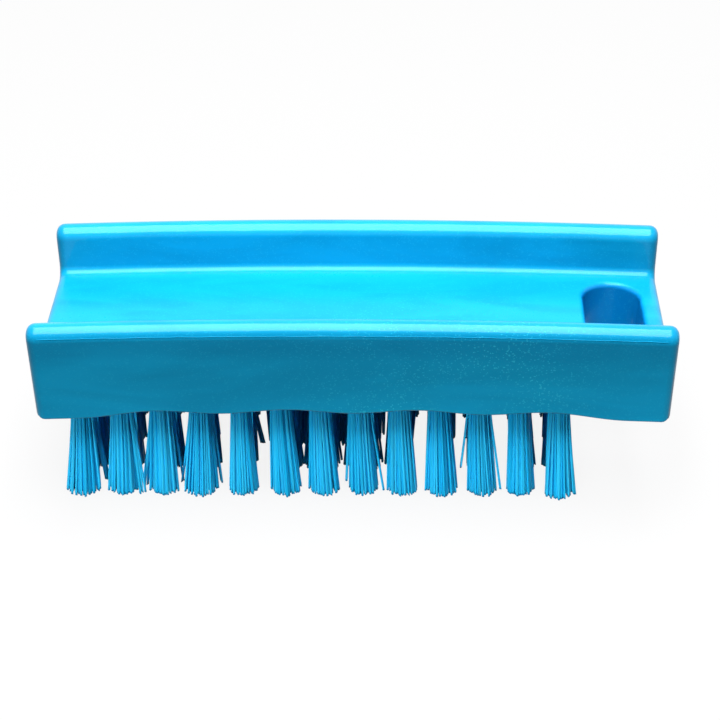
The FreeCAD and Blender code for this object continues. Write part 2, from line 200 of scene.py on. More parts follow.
class Value:
    """A socket of a node tree that takes part in arithmetic."""

    def __init__(self, tree: "Nodes", socket: bpy.types.NodeSocket) -> None:
        """Wrap a socket of a tree."""
        self.tree = tree
        self.socket = socket

    def math(self, operation: str, first: Any, second: Any) -> "Value":
        """Add a Math node on two values.

        Args:
            operation: The Math node's operation.
            first: A value or number.
            second: A value or number.

        Returns:
            The node's result.
        """
        return self.tree.add("ShaderNodeMath", {"operation": operation}, {0: first, 1: second})

    def __add__(self, other: Any) -> "Value":
        """Add."""
        return self.math("ADD", self, other)

    __radd__ = __add__

    def __sub__(self, other: Any) -> "Value":
        """Subtract."""
        return self.math("SUBTRACT", self, other)

    def __rsub__(self, other: Any) -> "Value":
        """Subtract from a number."""
        return self.math("SUBTRACT", other, self)

    def __mul__(self, other: Any) -> "Value":
        """Multiply."""
        return self.math("MULTIPLY", self, other)

    __rmul__ = __mul__

    def __gt__(self, other: Any) -> "Value":
        """Give 1 where this is greater."""
        return self.math("GREATER_THAN", self, other)

    def larger(self, other: Any) -> "Value":
        """Take the larger of two values."""
        return self.math("MAXIMUM", self, other)

    def size(self) -> "Value":
        """Take the value without its sign."""
        return self.math("ABSOLUTE", self, 0.0)


class Nodes:
    """A node tree that is written as Python expressions."""

    def __init__(self, tree: bpy.types.NodeTree) -> None:
        """Start on an emptied tree."""
        self.tree = tree
        tree.nodes.clear()

    def add(self, kind: str, settings: dict[str, Any], inputs: dict[Any, Any], output: Any = 0) -> Value:
        """Add a node.

        Args:
            kind: The node's type.
            settings: Its settings by name, set first.
            inputs: Values, numbers or colours by socket name or number.
            output: Name or number of the socket to return.

        Returns:
            The wrapped output, or the first input of a node without outputs.
        """
        node = self.tree.nodes.new(kind)
        for name, setting in settings.items():
            setattr(node, name, setting)
        for name, given in inputs.items():
            socket = node.inputs[name]
            if isinstance(given, Value):
                self.tree.links.new(given.socket, socket)
            else:
                socket.default_value = given
        sockets = node.outputs if node.outputs else node.inputs
        return Value(self, sockets[output])

    def mix(self, share: Any, first: Any, second: Any) -> Value:
        """Mix two colours.

        Args:
            share: How much of the second colour shows.
            first: A colour or a value that holds one.
            second: A colour or a value that holds one.

        Returns:
            The mixed colour.
        """
        below, above = (given if isinstance(given, Value) else (*given, 1.0) for given in (first, second))
        return self.add("ShaderNodeMix", {"data_type": "RGBA"}, {0: share, 6: below, 7: above}, 2)

    def place(self, stretch: Axes) -> Value:
        """Give the Object coordinates, stretched along each axis."""
        here = self.add("ShaderNodeTexCoord", {}, {}, "Object")
        return self.add("ShaderNodeMapping", {}, {"Vector": here, "Scale": stretch})

    def noise(self, stretch: Axes, detail: float = 3.0, distortion: float = 0.0) -> Value:
        """Give a noise pattern on the Object coordinates, from 0 to 1.

        Args:
            stretch: Cycles per metre along each axis.
            detail: How many finer layers it has.
            distortion: How much it swirls.

        Returns:
            The pattern's value.
        """
        inputs = {"Vector": self.place(stretch), "Scale": 1.0, "Detail": detail, "Distortion": distortion}
        return self.add("ShaderNodeTexNoise", {}, inputs, "Fac")

    def steps(self, share: Value, low: float, high: float) -> Value:
        """Rise from 0 at one level of a value to 1 at another, smoothly."""
        settings = {"interpolation_type": "SMOOTHSTEP"}
        return self.add("ShaderNodeMapRange", settings, {"Value": share, 1: low, 2: high})

    def bump(self, height: Value, depth: float) -> Value:
        """Give a normal that is bumped by a height, its depth in millimetres."""
        return self.add("ShaderNodeBump", {}, {"Height": height, "Distance": depth * MM, "Strength": 1.0})

    def surface(self, inputs: dict[str, Any]) -> None:
        """End the tree in a Principled shader with these inputs."""
        shader = self.add("ShaderNodeBsdfPrincipled", {}, inputs)
        self.add("ShaderNodeOutputMaterial", {}, {"Surface": shader})


def new_material(name: str) -> tuple[bpy.types.Material, Nodes]:
    """Make an empty material.

    Args:
        name: The material's name.

    Returns:
        The material and its node tree.
    """
    material = bpy.data.materials.new(name)
    material.use_nodes = True
    return material, Nodes(material.node_tree)


@dataclass(frozen=True)
class PearlPlastic:
    """Blue moulded plastic with pearl flakes under a clear glossy skin. Its colour holds painted shade
    under the rims and in the slot, and painted glints where the flakes gather.

    The skin is full on the rims and fillets, and thin on the outer walls, in the slot and on the flat deck.
    Patterns are in cycles per metre along each axis, and other lengths in millimetres. A zone gives where
    something starts and where it is full.
    """

    block: "Block"
    deep: Colour = (0.002, 0.275, 0.515)
    light: Colour = (0.003, 0.345, 0.63)
    # Partly real pearl flakes, partly painted glints: the flakes' colour is lighter than the plastic.
    flake_glint: Colour = (0.04, 0.64, 0.84)
    haze_and_glint: Colour = (0.006, 0.38, 0.60)
    # Painted shade: the darker colour of the band under the rims outside.
    depth: Colour = (0.0, 0.12, 0.30)
    # Painted shade: the darker, bluer colour inside the slot.
    slot: Colour = (0.0, 0.19, 0.60)
    sheen: Colour = (0.05, 0.9, 1.0)
    flow: Axes = (28.0, 90.0, 90.0)
    grains: Axes = (900.0, 900.0, 900.0)
    patches: Axes = (40.0, 80.0, 80.0)
    flakes: Axes = (4600.0, 4600.0, 4600.0)
    shade_waves: Axes = (45.0, 0.0, 0.0)
    shade_wave_height: float = 3.0
    contrast: Span = (0.3, 0.7)
    flake_share: float = 0.08
    loose_flakes: float = 0.15
    flake_glint_strength: float = 0.8
    # Painted glint: the middle and reach of the cloud on the front face where flakes and haze gather.
    glint_cloud_middle: Axes = (16.0, -22.0, 27.0)
    glint_cloud_zone: Span = (6.8, 34.0)
    grain_haze: float = 0.12
    glint_patch_haze: float = 0.3
    shade_share: float = 0.22
    slot_shade_share: float = 0.65
    metal: float = 0.02
    specular: float = 0.25
    roughness: float = 0.36
    swirl_polish: float = 0.12
    flake_polish: float = 0.08
    gloss: float = 0.24
    swirl_gloss: float = 0.06
    thin_gloss: float = 0.2
    coat_roughness: float = 0.05
    glint_height: float = 0.4
    grain_depth: float = 0.003
    # Zones from the top of the rims
    shade_zone: Span = (-6.3, -2.8)
    rim_zone: Span = (-1.7, -0.7)
    # Zones from the level of the deck
    slot_zone: Span = (-1.8, -0.4)
    slot_shade_zone: Span = (-0.6, -0.06)
    deck_zone: Span = (-0.3, -0.1)
    # Zones across, from the middle of the deck and of the rims
    fillet_zone: Span = (14.8, 15.8)
    wall_zone: Span = (-0.5, 1.5)
    # Zone along, from the ends
    end_zone: Span = (-2.4, -1.0)

    def material(self) -> bpy.types.Material:
        """Make the finish.

        Returns:
            The material.
        """
        material, nodes = new_material("pearl_plastic")
        swirl = nodes.noise(self.flow, detail=4.0, distortion=1.2)
        grain = nodes.noise(self.grains, detail=2.0)
        cell = {"Vector": nodes.place(self.flakes), "Scale": 1.0}
        cells = nodes.add("ShaderNodeTexVoronoi", {"feature": "F1"}, cell, "Color")
        glint = nodes.add("ShaderNodeSeparateColor", {}, {"Color": cells}, 0)
        # Painted glints: lighter flake dots, most of them gathered in a cloud on the front face.
        glint_patch = nodes.steps(nodes.noise(self.patches), *self.contrast) * self.glint_cloud(nodes)
        gathered = self.loose_flakes + (1.0 - self.loose_flakes) * glint_patch
        flakes = (glint > 1.0 - self.flake_share) * gathered
        shade, mouth, thin = self.zones(nodes)
        body = nodes.mix(nodes.steps(swirl, *self.contrast), self.deep, self.light)
        # Milky haze from the grain, partly real tone, and more of it in the painted glint cloud.
        milky = nodes.mix(self.grain_haze * grain + self.glint_patch_haze * glint_patch, body, self.haze_and_glint)
        # Painted shade: the band under the rims outside is darkened towards depth.
        shaded = nodes.mix(self.shade_share * shade, milky, self.depth)
        # Painted shade: the slot is darkened and blued from its mouth down.
        tone = nodes.mix(self.slot_shade_share * mouth, shaded, self.slot)
        skin = 1.0 - (1.0 - self.thin_gloss) * thin
        nodes.surface(
            {
                "Base Color": nodes.mix(self.flake_glint_strength * flakes, tone, self.flake_glint),
                "Metallic": self.metal,
                "Roughness": self.roughness - self.swirl_polish * swirl - self.flake_polish * flakes,
                "Specular IOR Level": self.specular,
                "Specular Tint": (*self.sheen, 1.0),
                "Coat Weight": (self.gloss + self.swirl_gloss * swirl) * skin,
                "Coat Roughness": self.coat_roughness,
                "Normal": nodes.bump(glint * self.glint_height + grain, self.grain_depth),
            }
        )
        return material

    def glint_cloud(self, nodes: Nodes) -> Value:
        """Give where the painted flake glints and haze gather, in a cloud on the front face.

        Args:
            nodes: The tree to add to.

        Returns:
            1 in the middle of the cloud, 0 past its edge.
        """
        here = nodes.add("ShaderNodeTexCoord", {}, {}, "Object")
        ends = {0: here, 1: Vector(self.glint_cloud_middle) * MM}
        distance = nodes.add("ShaderNodeVectorMath", {"operation": "DISTANCE"}, ends, "Value")
        return 1.0 - self.past(nodes, distance, 0.0, self.glint_cloud_zone)

    def zones(self, nodes: Nodes) -> tuple[Value, Value, Value]:
        """Mark places on the block, with 1 inside and 0 outside of each.

        Args:
            nodes: The tree to add to.

        Returns:
            The painted shade band along the outside of the rims, the painted shade in the slot from its
            mouth down, and where the skin is thin.
        """
        block = self.block
        along, across, level = self.place_on_block(nodes)
        walls = self.past(nodes, across, block.rim_y, self.wall_zone)
        outside = walls.larger(self.past(nodes, along, block.length / 2, self.end_zone))
        # Painted shade: a band with a wavy lower edge under the rims, on the outside only.
        shade_edge_level = level + nodes.noise(self.shade_waves, detail=1.0) * (self.shade_wave_height * MM)
        shade = self.past(nodes, shade_edge_level, block.top_z, self.shade_zone) * outside
        # Painted shade mask: the inside of the slot, up to its mouth.
        mouth = (1.0 - self.past(nodes, level, block.deck_z, self.slot_shade_zone)) * (1.0 - outside)
        in_slot = 1.0 - self.past(nodes, level, block.deck_z, self.slot_zone)
        below_rim = outside * (1.0 - self.past(nodes, level, block.top_z, self.rim_zone))
        flat = 1.0 - self.past(nodes, across, 0.0, self.fillet_zone)
        on_deck = self.past(nodes, level, block.deck_z, self.deck_zone) * flat
        return shade, mouth, below_rim.larger(in_slot).larger(on_deck)

    @staticmethod
    def past(nodes: Nodes, place: Value, start: float, zone: Span) -> Value:
        """Rise from 0 to 1 over a zone that counts from a start, in millimetres."""
        return nodes.steps(place, (start + zone[0]) * MM, (start + zone[1]) * MM)

    def place_on_block(self, nodes: Nodes) -> tuple[Value, Value, Value]:
        """Give where a point lies on the block.

        Args:
            nodes: The tree to add to.

        Returns:
            Its distances from the middle, along and across, and its height along the bow, in metres.
        """
        here = nodes.add("ShaderNodeTexCoord", {}, {}, "Object")
        x, y, z = (nodes.add("ShaderNodeSeparateXYZ", {}, {0: here}, axis) for axis in "XYZ")
        return x.size(), y.size(), z + x * x * (0.5 / (self.block.bow_radius * MM))


@dataclass(frozen=True)
class BristleNylon:
    """Drawn blue nylon filament, each strand of its own shade.

    The pattern is in cycles per metre along each axis, and the depth in millimetres.
    """

    dark: Colour = (0.010, 0.49, 0.87)
    bright: Colour = (0.028, 0.57, 0.92)
    sheen: Colour = (0.2, 0.7, 1.0)
    cut_end: Colour = (0.002, 0.20, 0.42)
    drawing: Axes = (1500.0, 1500.0, 120.0)
    drawn_share: float = 0.25
    shade_zone: Span = (0.15, 1.0)
    end_zone: Span = (0.975, 1.0)
    roughness: float = 0.34
    drawn_roughness: float = 0.16
    drawn_depth: float = 0.01
    specular: float = 0.2

    def material(self) -> bpy.types.Material:
        """Make the finish.

        Returns:
            The material.
        """
        material, nodes = new_material("bristle_nylon")
        strand = nodes.add("ShaderNodeAttribute", {"attribute_name": "strand"}, {}, "Fac")
        along = nodes.add("ShaderNodeAttribute", {"attribute_name": "along"}, {}, "Fac")
        drawn = nodes.noise(self.drawing, detail=2.0)
        brightness = nodes.steps(strand + self.drawn_share * drawn, *self.shade_zone)
        shade = nodes.mix(brightness, self.dark, self.bright)
        nodes.surface(
            {
                "Base Color": nodes.mix(nodes.steps(along, *self.end_zone), shade, self.cut_end),
                "Roughness": self.roughness + self.drawn_roughness * drawn,
                "Specular IOR Level": self.specular,
                "Specular Tint": (*self.sheen, 1.0),
                "Normal": nodes.bump(drawn, self.drawn_depth),
            }
        )
        return material


@dataclass(frozen=True)
class AnchorSteel:
    """Bare flat wire, drawn along its length.

    The pattern is in cycles per metre along each axis, and the depth in millimetres.
    """

    bright: Colour = (0.62, 0.61, 0.58)
    dull: Colour = (0.42, 0.41, 0.39)
    drawing: Axes = (150.0, 4000.0, 4000.0)
    roughness: float = 0.28
    drawn_roughness: float = 0.2
    drawn_depth: float = 0.01

    def material(self) -> bpy.types.Material:
        """Make the finish.

        Returns:
            The material.
        """
        material, nodes = new_material("anchor_steel")
        drawn = nodes.noise(self.drawing)
        nodes.surface(
            {
                "Base Color": nodes.mix(drawn, self.dull, self.bright),
                "Metallic": 1.0,
                "Roughness": self.roughness + self.drawn_roughness * drawn,
                "Normal": nodes.bump(drawn, self.drawn_depth),
            }
        )
        return material


@dataclass
class Block:
    """The moulded block: a bowed channel with round rims, scalloped lower edges and a hang slot.

    Sizes are in millimetres and degrees. The section is traced in the middle plane.
    """

    length: float = 118.0
    width: float = 45.0
    wall: float = 5.0
    draft: float = 3.0
    rim_height: float = 9.1
    base: float = 9.6
    free_length: float = 21.6
    deck_fillet: float = 1.5
    bow_radius: float = 1545.0
    scallop_depth: float = 0.75
    scallop_pitch: float = 24.0
    foot_drop: float = 0.5
    foot_length: float = 8.5
    foot_ramp: float = 14.5
    end_round: float = 1.6
    lower_round: float = 0.35
    slot_length: float = 11.0
    slot_width: float = 26.0
    slot_lip: float = 1.1
    slot_end_margin: float = 4.2
    hole: float = 4.0
    hole_floor: float = 3.0
    hole_overrun: float = 6.4
    # How finely the round forms are stepped
    stations: int = 34
    rim_steps: int = 16
    fillet_steps: int = 6
    end_steps: int = 6
    lower_steps: int = 3
    lip_steps: int = 6
    slot_sides: int = 48
    hole_sides: int = 20
    # How points and edges are told apart
    near: float = 0.2
    low_band: float = 2.0
    lower_crease: float = 50.0
    crease: float = 40.0

    def __post_init__(self) -> None:
        """Work out the levels and places that the other sizes give."""
        self.rim = self.wall / 2
        self.deck_z = self.free_length + self.base
        self.top_z = self.deck_z + self.rim_height
        self.rim_y = self.width / 2 - self.rim
        self.rim_z = self.top_z - self.rim
        self.bow_centre = Vector((0, 0, (self.top_z - self.bow_radius) * MM))
        self.half_angle = math.asin(self.length / 2 / self.bow_radius)

    def lower_level(self, x: float) -> float:
        """Give the lower edge's height above its troughs.

        Args:
            x: Place along the block, in millimetres.

        Returns:
            The height in millimetres, below zero at the feet.
        """
        crest = self.length / 2 - self.foot_length - self.foot_ramp
        reach = abs(x)
        if reach <= crest:
            return self.scallop_depth * (0.5 - 0.5 * math.cos(2 * math.pi * reach / self.scallop_pitch))
        ramp = min(1.0, (reach - crest) / self.foot_ramp)
        fall = self.scallop_depth + self.foot_drop
        return self.scallop_depth - fall * (0.5 - 0.5 * math.cos(math.pi * ramp))

    def trace_section(self) -> bpy.types.Object:
        """Trace half of the section from the underside to the middle of the deck.

        Returns:
            An object whose mesh is a line of edges.
        """
        lean = math.radians(self.draft)
        rim_middle = Vector((0, self.rim_y, self.rim_z))
        rim_side = Vector((0, math.cos(lean), -math.sin(lean))) * self.rim
        outer = rim_middle + rim_side
        inner = rim_middle - rim_side
        foot_y = outer.y - (outer.z - self.free_length) * math.tan(lean)
        fillet_z = self.deck_z + self.deck_fillet
        wall_end_z = fillet_z - self.deck_fillet * math.sin(lean)
        wall_end = Vector((0, inner.y - (inner.z - wall_end_z) * math.tan(lean), wall_end_z))
        fillet = Vector((0, wall_end.y - self.deck_fillet * math.cos(lean), fillet_z))
        across = Vector((1, 0, 0))
        start = Vector((0, 0, self.free_length))
        foot = Vector((0, foot_y, self.free_length))

        bpy.ops.object.select_all(action="DESELECT")
        bpy.ops.mesh.primitive_plane_add(size=self.wall * MM, location=start * MM)
        block = bpy.context.active_object
        block.name = "brush_block"
        place_down(block)
        with editing(block):
            bpy.ops.mesh.select_all(action="SELECT")
            bpy.ops.mesh.merge(type="CENTER")
            extrude((foot - start) * MM)
            extrude((outer - foot) * MM)
            spin(rim_middle * MM, across, math.pi, self.rim_steps)
            extrude((wall_end - inner) * MM)
            spin(fillet * MM, across, lean - math.pi / 2, self.fillet_steps)
            extrude(Vector((0, -fillet.y, 0)) * MM)
        return block

    def sweep(self, block: bpy.types.Object) -> None:
        """Sweep the section along the bow, shape the lower edge and close the block.

        Args:
            block: The traced half section.
        """
        mirror = {"use_clip": True, "merge_threshold": MERGE}
        half_way = self.length / 4 * MM
        add_modifier(block, "MIRROR", use_axis=(False, True, False), **mirror)
        with editing(block):
            bpy.ops.mesh.select_all(action="SELECT")
            spin(self.bow_centre, Vector((0, 1, 0)), self.half_angle, self.stations)
            pick(block, Kind.EDGE, lambda edge: edge.is_boundary and edge.verts[0].co.x > half_way)
            bpy.ops.mesh.edge_face_add()
        self.shape_lower_edge(block)
        add_modifier(block, "MIRROR", use_axis=(True, False, False), **mirror)
        settle(block)

    def shape_lower_edge(self, block: bpy.types.Object) -> None:
        """Move the underside up and down, one station after another, into feet and scallops.

        Args:
            block: The swept half of the block.
        """
        low_radius = (self.bow_radius - self.rim_height - self.base) * MM
        near = self.near * MM
        with editing(block):
            for station in range(self.stations + 1):
                angle = self.half_angle * station / self.stations
                x = low_radius * math.sin(angle)
                outwards = Vector((math.sin(angle), 0, math.cos(angle)))

                def under(point: bmesh.types.BMVert, x: float = x, outwards: Vector = outwards) -> bool:
                    """Tell whether a point lies on the underside at this station."""
                    radius = (point.co - self.bow_centre).dot(outwards)
                    return abs(point.co.x - x) < near and abs(radius - low_radius) < near

                pick(block, Kind.POINT, under)
                slide(outwards * self.lower_level(x / MM) * MM)

    def round_ends(self, block: bpy.types.Object) -> None:
        """Round the outlines of both ends, then break the long lower edges.

        Args:
            block: The closed block.
        """
        low_z = (self.free_length + self.low_band) * MM
        sharp = math.radians(self.lower_crease)

        def on_end(edge: bmesh.types.BMEdge) -> bool:
            """Tell whether an edge bounds an end, the only face with more than four corners."""
            return any(len(face.verts) > 4 for face in edge.link_faces)

        def lower(edge: bmesh.types.BMEdge) -> bool:
            """Tell whether an edge is a sharp one along the bottom."""
            return max(v.co.z for v in edge.verts) < low_z and edge.calc_face_angle(0.0) > sharp

        with editing(block):
            pick(block, Kind.EDGE, on_end)
            bpy.ops.mesh.bevel(offset=self.end_round * MM, segments=self.end_steps, affect="EDGES")
            pick(block, Kind.EDGE, lower)
            bpy.ops.mesh.bevel(offset=self.lower_round * MM, segments=self.lower_steps, affect="EDGES")

    def slot_tool(self) -> bpy.types.Object:
        """Shape the tool that cuts the hang slot, flared at the deck into a round lip.

        Returns:
            The tool's object.
        """
        radius = self.slot_length / 2
        middle = self.length / 2 - self.slot_end_margin - radius
        reach = self.slot_width / 2 - radius
        deck_radius = self.bow_radius - self.rim_height
        tilt = math.asin(middle / deck_radius)
        mouth = math.sqrt(deck_radius**2 - middle**2) + self.bow_centre.z / MM
        depth = 2 * self.base
        bpy.ops.object.select_all(action="DESELECT")
        bpy.ops.mesh.primitive_circle_add(vertices=self.slot_sides, radius=radius * MM, fill_type="NGON")
        tool = bpy.context.active_object
        with editing(tool):
            for side in (1, -1):
                pick(tool, Kind.POINT, lambda point, side=side: side * point.co.y > MERGE)
                slide(Vector((0, side * reach * MM, 0)))
            bpy.ops.mesh.select_all(action="SELECT")
            slide(Vector((0, 0, -depth * MM)))
            extrude(Vector((0, 0, (depth - self.slot_lip) * MM)))
            before = Vector((0.0, 0.0))
            for step in range(1, self.lip_steps + 1):
                turn = math.pi / 2 * step / self.lip_steps
                here = Vector((1 - math.cos(turn), math.sin(turn))) * self.slot_lip
                extrude(Vector((0, 0, (here.y - before.y) * MM)))
                self.widen_loop(tool, here.x - before.x, reach)
                before = here
            extrude(Vector((0, 0, self.rim_height * MM)))
        tool.rotation_euler = (0, tilt, 0)
        tool.location = Vector((middle, 0, mouth)) * MM
        place_down(tool)
        settle(tool)
        return tool

    @staticmethod
    def widen_loop(tool: bpy.types.Object, amount: float, reach: float) -> None:
        """Move the selected loop outwards from the slot's centre line.

        Args:
            tool: The object in edit mode.
            amount: How far, in millimetres.
            reach: Half of the centre line's length, in millimetres.
        """
        mesh = bmesh.from_edit_mesh(tool.data)
        for point in mesh.verts:
            if point.select:
                near = max(-reach * MM, min(reach * MM, point.co.y))
                away = Vector((point.co.x, point.co.y - near, 0))
                point.co += away.normalized() * amount * MM
        bmesh.update_edit_mesh(tool.data)

    def hole_tool(self, roots: list[Vector]) -> bpy.types.Object:
        """Shape the tool that drills the tuft holes.

        Args:
            roots: Where the holes are, in metres.

        Returns:
            The tool's object.
        """
        start = self.free_length - self.hole_overrun
        end = self.deck_z - self.hole_floor
        radius = self.hole / 2 * MM
        bpy.ops.object.select_all(action="DESELECT")
        bpy.ops.mesh.primitive_circle_add(vertices=self.hole_sides, radius=radius, fill_type="NGON")
        tool = bpy.context.active_object
        with editing(tool):
            bpy.ops.mesh.select_all(action="SELECT")
            slide(Vector((roots[0].x, roots[0].y, start * MM)))
            for before, after in zip(roots, roots[1:]):
                step = Vector((after.x - before.x, after.y - before.y, 0))
                bpy.ops.mesh.duplicate_move(TRANSFORM_OT_translate={"value": step})
            bpy.ops.mesh.select_all(action="SELECT")
            extrude(Vector((0, 0, (end - start) * MM)))
        settle(tool)
        return tool

    def build(self, roots: list[Vector], finish: bpy.types.Material) -> bpy.types.Object:
        """Build and dress the block.

        Args:
            roots: Where the tuft holes are, in metres.
            finish: The material to dress it in.

        Returns:
            The finished block.
        """
        block = self.trace_section()
        self.sweep(block)
        self.round_ends(block)
        cut(block, self.slot_tool())
        cut(block, self.hole_tool(roots))
        settle(block)
        smooth(block, self.crease)
        add_modifier(block, "WEIGHTED_NORMAL", keep_sharp=True, weight=80)
        block.data.materials.clear()
        block.data.materials.append(finish)
        return block


@dataclass
class PartingLine:
    """The fine bead that the mould's halves leave along the outside of both rims.

    Sizes are in millimetres and degrees.
    """

    block: Block
    bead: float = 0.08
    height: float = 15.0
    end_gap: float = 2.2
    stray: float = 0.05
    sides: int = 6
    stations: int = 40
    near: float = 0.5
    crease: float = 80.0
    seed: int = 11

    def build(self, finish: bpy.types.Material) -> bpy.types.Object:
        """Build and dress the bead.

        Args:
            finish: The material to dress it in.

        Returns:
            The finished bead, both sides in one mesh.
        """
        turn = math.radians(self.height)
        block = self.block
        rim_middle = Vector((0, block.rim_y, block.rim_z))
        place = rim_middle + Vector((0, math.cos(turn), math.sin(turn))) * block.rim
        angle = math.asin((block.length / 2 - self.end_gap) / block.bow_radius)
        upright = (0, math.pi / 2, 0)
        bpy.ops.object.select_all(action="DESELECT")
        bpy.ops.mesh.primitive_circle_add(
            vertices=self.sides, radius=self.bead * MM, location=place * MM, rotation=upright
        )
        line = bpy.context.active_object
        line.name = "parting_line"
        place_down(line)
        chance = random.Random(self.seed)
        with editing(line):
            bpy.ops.mesh.select_all(action="SELECT")
            spin(block.bow_centre, Vector((0, 1, 0)), angle, self.stations)
            bpy.ops.mesh.edge_face_add()
        add_modifier(line, "MIRROR", use_axis=(True, True, False), merge_threshold=MERGE)
        settle(line)
        with editing(line):
            for station in range(-self.stations, self.stations + 1):
                x = block.bow_radius * MM * math.sin(angle * station / self.stations)
                for side in (1, -1):

                    def ring(point: bmesh.types.BMVert, x: float = x, side: int = side) -> bool:
                        """Tell whether a point belongs to this ring of the bead."""
                        return abs(point.co.x - x) < self.near * MM and side * point.co.y > 0

                    pick(line, Kind.POINT, ring)
                    slide(Vector((0, 0, chance.uniform(-1, 1) * self.stray * MM)))
        smooth(line, self.crease)
        line.data.materials.append(finish)
        return line


@dataclass
class Strand:
    """One bristle filament, modelled upright with its root at 1 and its tip at 0.

    The thickness is in millimetres.
    """

    thickness: float = 0.5
    sides: int = 5
    bends: int = 5
    crowding: float = 1.3
    points: np.ndarray = field(init=False)
    faces: list[list[int]] = field(init=False)

    def __post_init__(self) -> None:
        """Model the filament and keep its points, across in metres and along from 0 to 1."""
        bpy.ops.object.select_all(action="DESELECT")
        bpy.ops.mesh.primitive_cylinder_add(
            vertices=self.sides, radius=self.thickness / 2 * MM, depth=1, location=(0, 0, 0.5)
        )
        strand = bpy.context.active_object
        place_down(strand)
        with editing(strand):
            for bend in range(1, self.bends):
                bpy.ops.mesh.select_all(action="SELECT")
                level = (0, 0, (bend / self.bends) ** self.crowding)
                bpy.ops.mesh.bisect(plane_co=level, plane_no=(0, 0, 1))
            pick(strand, Kind.FACE, lambda face: round(face.normal.z) == 1)
            bpy.ops.mesh.delete(type="FACE")
        self.points = np.array([v.co for v in strand.data.vertices])
        self.faces = [list(face.vertices) for face in strand.data.polygons]
        bpy.data.objects.remove(strand)


@dataclass(frozen=True)
class Stray:
    """A filament that stands away from its tuft, its tip from the tuft's middle in millimetres."""

    reach_x: float
    reach_y: float = -1.0
    rise: float = 0.5


@dataclass
class Tuft:
    """A tuft of filaments in place of one of the frame's tuft solids.

    The root is in metres, other sizes in millimetres and the crease in degrees.
    """

    node: str
    root: Vector
    lean: float
    tip_width: float
    strays: tuple[Stray, ...]
    seed: int
    forward: float
    strands: int = 80
    hole: float = 3.95
    ragged: float = 0.12
    ragged_limit: float = 0.3
    wander: float = 0.12
    sway: float = 0.06
    slant: float = 0.4
    thickness_range: Span = (0.92, 1.06)
    flare_start: float = 0.24
    flare_power: float = 1.15
    tip_crowding: float = 0.38
    crease: float = 60.0

    def build(self, strand: Strand, finish: bpy.types.Material) -> bpy.types.Object:
        """Lay the strands of the tuft and dress them.

        Args:
            strand: The modelled strand that is copied.
            finish: The material to dress it in.

        Returns:
            The finished tuft.
        """
        chance = random.Random(self.seed)
        laid = [self.lay(strand, *ends, chance) for ends in self.ends(strand.thickness, chance)]
        count = len(strand.points)
        firsts = [number * count for number in range(len(laid))]
        faces = [[first + corner for corner in face] for first in firsts for face in strand.faces]
        mesh = bpy.data.meshes.new(self.node.replace("tuft", "bristles"))
        mesh.from_pydata(np.concatenate(laid).tolist(), [], faces)
        shades = np.repeat([chance.random() for _ in laid], count)
        along = np.tile(1 - strand.points[:, 2], len(laid))
        for name, numbers in (("strand", shades), ("along", along)):
            attribute = mesh.attributes.new(name, "FLOAT", "POINT")
            attribute.data.foreach_set("value", numbers.astype(np.float32))
        mesh.materials.append(finish)
        tuft = bpy.data.objects.new(mesh.name, mesh)
        bpy.context.scene.collection.objects.link(tuft)
        smooth(tuft, self.crease)
        return tuft

    def ends(self, thickness: float, chance: random.Random) -> list[tuple[np.ndarray, np.ndarray, float]]:
        """Choose where each strand starts in the hole and where it ends.

        Args:
            thickness: A strand's thickness in millimetres.
            chance: Source of the small differences between strands.

        Returns:
            For each strand its start and its end across the tuft, and its tip's height, in millimetres.
        """
        golden = math.pi * (3 - math.sqrt(5))
        inner = (self.hole - thickness) / 2
        outer = (self.tip_width - thickness) / 2
        twist = chance.uniform(0, 2 * math.pi)
        ends = []
        for number in range(self.strands):
            share = (number + 0.5) / self.strands
            turn = twist + golden * number
            way = np.array([math.cos(turn), math.sin(turn)])
            stray = np.array([chance.gauss(0, self.wander), chance.gauss(0, self.wander)])
            rise = min(self.ragged_limit, abs(chance.gauss(0, self.ragged)))
            end = way * share**self.tip_crowding * outer + stray
            ends.append((way * math.sqrt(share) * inner, end, rise))
        for stray in self.strays:
            end = np.array([stray.reach_x, stray.reach_y])
            ends.append((end / np.linalg.norm(end) * inner, end, stray.rise))
        return ends

    def lay(
        self, strand: Strand, start: np.ndarray, end: np.ndarray, rise: float, chance: random.Random
    ) -> np.ndarray:
        """Lay one strand from its hole to its tip.

        Args:
            strand: The modelled strand.
            start: Place in the hole, from its middle, in millimetres.
            end: Place of the tip, from the tip's middle, in millimetres.
            rise: Height of the tip above the floor, in millimetres.
            chance: Source of the small differences between strands.

        Returns:
            The laid strand's points, in metres.
        """
        up = strand.points[:, 2]
        spread = np.clip((1 - up - self.flare_start) / (1 - self.flare_start), 0, 1) ** self.flare_power
        root = np.array(self.root.xy)
        tip = root + np.array([self.lean, -self.forward]) * MM
        line = np.outer(1 - spread, start * MM + root) + np.outer(spread, end * MM + tip)
        bend = np.array([chance.gauss(0, self.sway), chance.gauss(0, self.sway)]) * MM
        line += np.outer(np.sin(spread * math.pi), bend)
        turn = chance.uniform(0, 2 * math.pi)
        cos, sin = math.cos(turn), math.sin(turn)
        thickness = chance.uniform(*self.thickness_range)
        across = strand.points[:, :2] @ np.array([[cos, sin], [-sin, cos]]) * thickness
        slant = across @ np.array([chance.gauss(0, self.slant), chance.gauss(0, self.slant)])
        height = rise * MM + up * (self.root.z - rise * MM) + np.where(np.isclose(up, 0), slant, 0)
        return np.column_stack([line + across, np.maximum(height, 0)])


